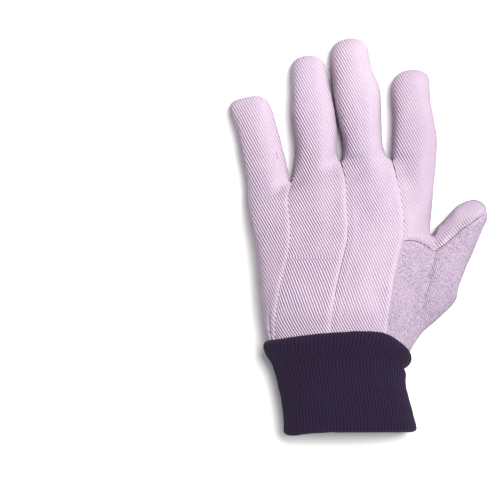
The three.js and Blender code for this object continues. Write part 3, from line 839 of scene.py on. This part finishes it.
def nepGroup():  # one dark knot of fibre on the upper side
    group, given, result = newGroup(
        "dark nep", {"Colour": "Color", "Place": "Vector", "Nep X": "Float", "Nep Y": "Float"},
        {"Colour": "Color"})
    x, y, z = axes(group, given["Place"])
    dx = calc(group, "SUBTRACT", x, given["Nep X"])
    dy = calc(group, "MULTIPLY", calc(group, "SUBTRACT", y, given["Nep Y"]), 0.5)
    away = calc(group, "ADD", calc(group, "MULTIPLY", dx, dx), calc(group, "MULTIPLY", dy, dy))
    spot = calc(group, "EXPONENT", calc(group, "MULTIPLY", away, -5e6))
    spot = calc(group, "MULTIPLY", spot, calc(group, "GREATER_THAN", z, 0.012))
    colour = blendColour(group, calc(group, "MULTIPLY", spot, 0.7), given["Colour"], drill["hole"])
    group.links.new(colour, result["Colour"])
    return group


twillWeave = twillGroup()
napAndShadeTree = napAndShadeGroup()
cottonColour = cottonGroup()
seamStitches = stitchGroup()
darkNep = nepGroup()


def pushAside(tree, flat, place):  # a slack pick across the strip pushes the ridges aside
    off = calc(tree, "ADD", axes(tree, place)[1], 0.0154)
    pick = calc(tree, "EXPONENT", calc(tree, "MULTIPLY", calc(tree, "MULTIPLY", off, off), -1.6e6))
    aside = tree.nodes.new("ShaderNodeCombineXYZ")
    tree.links.new(calc(tree, "MULTIPLY", pick, 0.0006), aside.inputs[0])
    shift = tree.nodes.new("ShaderNodeVectorMath")
    tree.links.new(flat, shift.inputs[0])
    tree.links.new(aside.outputs[0], shift.inputs[1])
    return shift.outputs[0]


def drillMaterial(panel):
    look = {**plainLook, **panelLooks[panel]}
    material, nodes, links = newMaterial(look["title"])
    tree = material.node_tree
    shader = nodes["Principled BSDF"]
    place = nodes.new("ShaderNodeTexCoord").outputs["Object"]
    weaveMap = nodes.new("ShaderNodeUVMap")
    weaveMap.uv_map = "weave"
    flat = weaveMap.outputs[0]
    if panel == "ring_back_panel":
        flat = pushAside(tree, flat, place)
    weave = useGroup(tree, twillWeave, Cloth=flat, Angle=look["angle"], Pitch=look["pitch"])
    # these shares carry painted shade on the thumb side and on sides facing away from the key light
    napAndShading = useGroup(
        tree, napAndShadeTree, Place=place, Facing=nodes.new("ShaderNodeNewGeometry").outputs["Normal"],
        Napped=look["napped"], Contrast=look["contrast"])
    colour = useGroup(
        tree, cottonColour, Place=place, Ridge=weave["Ridge"], Fleck=weave["Fleck"], Nap=napAndShading["Nap"],
        Thumb=napAndShading["Thumb"], Strength=napAndShading["Strength"], Mottled=look["mottled"],
        Soiled=look["soiled"])[0]
    colour = useGroup(
        tree, seamStitches, Colour=colour, Seam=attributeValue(tree, "seam"), Place=place)[0]
    for nepX, nepY in look["neps"]:
        colour = useGroup(tree, darkNep, Colour=colour, Place=place, NepX=nepX * mm, NepY=nepY * mm)[0]
    flattened = calc(tree, "MULTIPLY_ADD", napAndShading["Nap"], -0.6, 1.0)
    relief = calc(tree, "MULTIPLY", weave["Height"], flattened)
    relief = calc(tree, "MULTIPLY", relief, look["contrast"] ** 0.5)
    if panel == "palm_panel":  # the whipped gathers along the thumb's seam, with a painted highlight on their crests
        x, y = axes(tree, place)[:2]
        along = calc(tree, "ADD", calc(tree, "MULTIPLY", x, 0.8), calc(tree, "MULTIPLY", y, 0.6))
        crease = stripes(tree, along, drill["gatherPitch"])
        crease = calc(tree, "MULTIPLY", crease, attributeValue(tree, "gather"))
        crestHighlight = calc(tree, "MULTIPLY", crease, 0.55, None, True)
        colour = blendColour(tree, crestHighlight, colour, drill["gather"])
        relief = calc(tree, "MULTIPLY_ADD", crease, 0.7, relief)
    # the tint darkens the thumb panel: partly its own cloth, partly painted shade where the thumb turns
    # away from the light
    if "tint" in look:
        colour = blendColour(tree, 1.0, colour, look["tint"], "MULTIPLY")
    links.new(colour, shader.inputs["Base Color"])
    links.new(calc(tree, "MULTIPLY_ADD", weave["Ridge"], -0.08, 0.94), shader.inputs["Roughness"])
    shader.inputs["Specular IOR Level"].default_value = 0.25
    shader.inputs["Sheen Weight"].default_value = drill["sheen"]
    shader.inputs["Sheen Roughness"].default_value = 0.6
    addBump(tree, shader, relief, 1.0, drill["relief"])
    return material


finishes = {panel: drillMaterial(panel) for panel in panelNames}
for panel in panelNames:
    cloth.data.materials.append(finishes[panel])
print("drill finishes:", len(finishes))

# The panels are cut apart at the seams, their edges turned in, and each is given its thickness.
selectOnly(cloth)
bpy.ops.object.mode_set(mode="EDIT")
bpy.ops.mesh.select_all(action="SELECT")
bpy.ops.mesh.separate(type="MATERIAL")
bpy.ops.object.mode_set(mode="OBJECT")
panels = {}
for piece in list(bpy.context.selected_objects):
    finish = piece.data.materials[piece.data.polygons[0].material_index]
    name = next(key for key in panelNames if finishes[key] == finish)
    piece.data.materials.clear()
    piece.data.materials.append(finish)
    for polygon in piece.data.polygons:
        polygon.material_index = 0
    piece.name = name + "_cloth"
    panels[name] = piece
print("panels:", sorted(panels))


# how far a panel's edge draws back from its seam, in millimetres
seamGap = {"hand": 0.02, "fingers": 0.17, "thumb": 0.11, "thumbTip": 0.05, "middleSeam": 0.1}


def edgeGap(x, y):
    if x > 27 and -13 < y < 22:  # at the thumb's root and along the thumb
        return mix(seamGap["thumb"], seamGap["thumbTip"], clamp((x - 75) / 5))
    if -30 < x < 0 and -40 < y < 4:  # the seam in the middle of the back
        return seamGap["middleSeam"]
    return mix(seamGap["hand"], seamGap["fingers"], clamp((y - 29) / 16))


def turnEdgesIn(piece):
    form = bmesh.new()
    form.from_mesh(piece.data)
    form.normal_update()
    moves = {}
    for vert in form.verts:
        if vert.is_boundary:
            inward = Vector()
            for edge in vert.link_edges:
                if not edge.is_boundary:
                    inward += (edge.other_vert(vert).co - vert.co).normalized()
            if inward.length > 1e-6:
                gap = edgeGap(vert.co.x / mm, vert.co.y / mm)
                moves[vert] = (inward.normalized() * gap - vert.normal * gap * 1.6) * mm
    for vert, move in moves.items():
        vert.co += move
    form.to_mesh(piece.data)
    form.free()


for name, piece in panels.items():
    turnEdgesIn(piece)
    selectOnly(piece)
    wall = piece.modifiers.new("cloth thickness", "SOLIDIFY")
    wall.thickness = glove["clothThickness"] * mm
    wall.offset = -1
    wall.use_even_offset = False
    bpy.ops.object.modifier_apply(modifier=wall.name)
    bpy.ops.object.shade_smooth_by_angle(angle=math.radians(50))
    for vert in piece.data.vertices:
        vert.co.z = max(vert.co.z, 0.0)
    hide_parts(name)
    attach(piece, "root")


cuff = {
    "length": 65.0,
    "joinY": -62.35,      # where the top edge would stand if it were straight
    "ribs": 94,
    "pointsPerRib": 6,
    "ribHeight": 0.42,
    "thickness": 2.3,
    "stitchPitch": 0.00135,
    "yarn": (0.0235, 0.0098, 0.0375),
    # valley: painted shade between the ribs
    "valley": (0.0062, 0.0034, 0.0112),
    "lint": (0.05, 0.035, 0.07),
    "shade": (0.012, 0.009, 0.032),
}
# share of the way from the rim to the top edge, left side, right side and height
cuffRows = [
    (0.0, -48.6, 34.2, 33.4), (0.012, -49.3, 35.1, 34.2), (0.04, -49.7, 35.8, 34.8),
    (0.1, -49.6, 35.3, 35), (0.25, -50.3, 33.5, 35), (0.4, -51.7, 31.2, 34.6), (0.55, -53.6, 29.2, 34.3),
    (0.66, -55.6, 28.6, 34.1), (0.75, -57.2, 28.9, 34.8), (0.82, -60.1, 27.0, 37.4),
    (0.86, -61.6, 30.0, 38.9), (0.91, -62.7, 31.7, 40.0), (0.955, -63.0, 32.3, 40.2),
    (1.0, -61.6, 32.0, 38.6),
]
# how far up the top edge stands, by the angle round the wrist: 0 is the thumb side, 90 the back
cuffTop = [
    (0, 0.755), (14, 0.81), (32, 0.89), (47, 0.962), (56, 0.992), (66, 1.003), (80, 1.005), (104, 0.98),
    (143, 0.925), (180, 0.9), (215, 0.885), (270, 0.92), (310, 0.86), (335, 0.785), (360, 0.755),
]
# how far the rim stands up from its straight line, by the same angle
cuffRim = [
    (0, 0), (20, 0.4), (60, 1.0), (105, 1.0), (125, 0.2), (150, -1.5), (175, -1.6), (200, -0.6),
    (270, 0.4), (360, 0),
]


def tableValue(table, key, column=1):
    for low, high in zip(table, table[1:]):
        if key <= high[0]:
            t = max((key - low[0]) / (high[0] - low[0]), 0)
            return mix(low[column], high[column], t)
    return table[-1][column]


def cuffPoint(angle, at, inset):
    left, right, top = (tableValue(cuffRows, at, column) for column in (1, 2, 3))
    half, centre = (right - left) / 2, (right + left) / 2
    middle, rise = sectionCurve(0, top)
    c, s = math.cos(angle), math.sin(angle)
    power = 2 / (2.3 if s > 0 else 2.6)
    x = centre + (half - inset) * math.copysign(abs(c) ** power, c)
    z = max(middle + (rise - inset) * math.copysign(abs(s) ** power, s), inset)
    degrees = math.degrees(angle) % 360
    rim = tableValue(cuffRim, degrees) * max(0, 1 - at * 3) ** 2
    y = cuff["joinY"] - cuff["length"] * (1 - at * tableValue(cuffTop, degrees)) + rim
    return Vector((x, y, z))


def cuffRing(at, inset, count):
    dense = [cuffPoint(2 * math.pi * i / 720, at, inset) for i in range(721)]
    lengths = [0.0]
    for a, b in zip(dense, dense[1:]):
        lengths.append(lengths[-1] + (b - a).length)
    ring, i = [], 0
    for number in range(count):
        goal = lengths[-1] * number / count
        while lengths[i + 1] < goal:
            i += 1
        t = (goal - lengths[i]) / max(lengths[i + 1] - lengths[i], 1e-9)
        ring.append(dense[i].lerp(dense[i + 1], t))
    return ring


cuffCount = cuff["ribs"] * cuff["pointsPerRib"]
wall = cuff["thickness"]
# the knit's section, once round: up the outside, over the top edge, down the inside, round the rim
profile = [(0.0, 0.35, 1)]
profile += [(0.012 + 0.97 * i / 44, 0.0, 1) for i in range(45)]
profile += [(0.995, 0.35, 0.8), (1.003, 1.1, 0.6), (0.998, 1.9, 0.5), (0.985, wall, 0.5)]
profile += [(0.94 - 0.915 * i / 18, wall, 0.5) for i in range(19)]
profile += [(0.004, 1.9, 0.6), (-0.008, 1.1, 0.8)]

deselectAll()
bpy.ops.mesh.primitive_circle_add(vertices=cuffCount, radius=1, location=(0, 0, 0))
knit = bpy.context.object
knit.name = "knit_cuff_ribs"
bpy.ops.object.mode_set(mode="EDIT")
bpy.ops.mesh.select_mode(type="VERT")
bpy.ops.mesh.select_all(action="SELECT")
for step in profile[1:]:
    bpy.ops.mesh.extrude_region_move(TRANSFORM_OT_translate={"value": (0, 0, 1)})
bpy.ops.object.mode_set(mode="OBJECT")

ringPoint = [[] for _ in profile]
for vert in knit.data.vertices:
    ringPoint[round(vert.co.z)].append(vert)
ribShare = knit.data.attributes.new("rib", "FLOAT", "POINT")
for (at, inset, ripple), ring in zip(profile, ringPoint):
    ring.sort(key=lambda v: math.atan2(v.co.y, v.co.x) % (2 * math.pi - 1e-4))
    places = cuffRing(at, inset, cuffCount)
    for number, vert in enumerate(ring):
        before, after = places[number - 1], places[(number + 1) % cuffCount]
        along = after - before
        outward = Vector((along.z, 0, -along.x)).normalized()
        if inset > 1.5:
            outward = -outward
        height = math.cos(2 * math.pi * number / cuff["pointsPerRib"])
        height += 0.25 * noise.noise(Vector((number / 9, at * 14, 3)))
        wave = 0.35 * noise.noise(Vector((places[number].x / 11, at * 7, 5)))
        place = places[number] + outward * (height * cuff["ribHeight"] / 2 * ripple + wave)
        place.z = max(place.z, 0.05)
        ribShare.data[vert.index].value = height * 0.5 + 0.5
        vert.co = place * mm

selectOnly(knit)
bpy.ops.object.mode_set(mode="EDIT")
bpy.ops.mesh.select_all(action="DESELECT")
form = bmesh.from_edit_mesh(knit.data)
for edge in form.edges:
    edge.select = edge.is_boundary
bmesh.update_edit_mesh(knit.data)
bpy.ops.mesh.select_mode(type="EDGE")
bpy.ops.mesh.bridge_edge_loops()
bpy.ops.mesh.select_all(action="SELECT")
bpy.ops.mesh.normals_make_consistent(inside=False)
bpy.ops.object.mode_set(mode="OBJECT")
bpy.ops.object.shade_smooth()
print("cuff:", len(knit.data.polygons), "faces")


def knitMaterial():
    material, nodes, links = newMaterial("navy rib knit")
    tree = material.node_tree
    shader = nodes["Principled BSDF"]
    rib = attributeValue(tree, "rib")
    place = nodes.new("ShaderNodeTexCoord").outputs["Object"]
    slant = calc(tree, "MULTIPLY", calc(tree, "ABSOLUTE", calc(tree, "SUBTRACT", rib, 0.5)), 0.0012)
    rows = calc(tree, "ADD", axes(tree, place)[1], slant)
    loops = calc(tree, "MULTIPLY_ADD", stripes(tree, rows, cuff["stitchPitch"]), 0.5, 0.5)
    fuzz = speckle(tree, place, 1400.0, 4.0, 0.7)
    share = calc(tree, "MULTIPLY_ADD", loops, 0.22, -0.05)
    # painted shade: the knit is drawn darker in the valleys between the ribs and lighter on their crests
    share = calc(tree, "ADD", share, calc(tree, "MULTIPLY", rib, 0.75))
    share = calc(tree, "ADD", share, calc(tree, "MULTIPLY_ADD", fuzz, 0.5, -0.25), None, True)
    colour = blendColour(tree, share, cuff["valley"], cuff["yarn"])
    wide = calc(tree, "MULTIPLY_ADD", speckle(tree, place, 40.0, 3.0), 0.9, -0.25, True)
    colour = blendColour(tree, wide, colour, cuff["shade"])
    lint = calc(tree, "GREATER_THAN", speckle(tree, place, 620.0, 2.0), 0.70)
    colour = blendColour(tree, calc(tree, "MULTIPLY", lint, 0.35), colour, cuff["lint"])
    links.new(colour, shader.inputs["Base Color"])
    shader.inputs["Roughness"].default_value = 0.93
    shader.inputs["Specular IOR Level"].default_value = 0.14
    shader.inputs["Sheen Weight"].default_value = 0.05
    shader.inputs["Sheen Roughness"].default_value = 0.5
    height = calc(tree, "ADD", calc(tree, "MULTIPLY", loops, 0.8), calc(tree, "MULTIPLY", fuzz, 0.5))
    addBump(tree, shader, height, 0.8, 0.0003)
    return material


knit.data.materials.append(knitMaterial())
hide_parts("knit_cuff")
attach(knit, "root")

studio = {
    "floor": (0.90, 0.90, 0.91),
    "world": 0.38,
    "keyPower": 82.0,
    "fillPower": 2.0,
    "lens": 200.0,
    "centre": (-71.5, -10.2),  # the middle of the picture and its width, in millimetres
    "viewWidth": 322.5,
    "focusHeight": 15.0,
}

deselectAll()
bpy.ops.mesh.primitive_plane_add(size=6, location=(0, 0, -0.0005))
floor = bpy.context.object
floor.name = "studio_floor"
paper, nodes = newMaterial("pale floor")[:2]
nodes["Principled BSDF"].inputs["Base Color"].default_value = (*studio["floor"], 1)
nodes["Principled BSDF"].inputs["Roughness"].default_value = 0.9
floor.data.materials.append(paper)

world = bpy.data.worlds.new("studio")
bpy.context.scene.world = world
world.use_nodes = True
sky = world.node_tree.nodes["Background"]
sky.inputs["Color"].default_value = (1, 1, 1, 1)
sky.inputs["Strength"].default_value = studio["world"]


def areaLight(name, place, power, colour):
    light = bpy.data.lights.new(name, "AREA")
    light.shape = "SQUARE"
    light.size = 1.2
    light.energy = power
    light.color = colour
    lamp = bpy.data.objects.new(name, light)
    bpy.context.collection.objects.link(lamp)
    lamp.location = place
    lamp.rotation_euler = (-Vector(place)).to_track_quat("-Z", "Y").to_euler()


areaLight("key light", (0.6, 0.5, 1.95), studio["keyPower"], (1.0, 0.985, 0.97))
areaLight("fill light", (-1.3, 0.2, 1.3), studio["fillPower"], (0.9, 0.93, 1.0))

view = bpy.data.cameras.new("camera")
view.lens = studio["lens"]
view.sensor_width = 36
view.clip_end = 20
camera = bpy.data.objects.new("camera", view)
bpy.context.collection.objects.link(camera)
height = studio["focusHeight"] + studio["viewWidth"] * studio["lens"] / view.sensor_width
camera.location = Vector((*studio["centre"], height)) * mm  # straight above, looking down
bpy.context.scene.camera = camera
bpy.context.scene.view_settings.view_transform = "Standard"
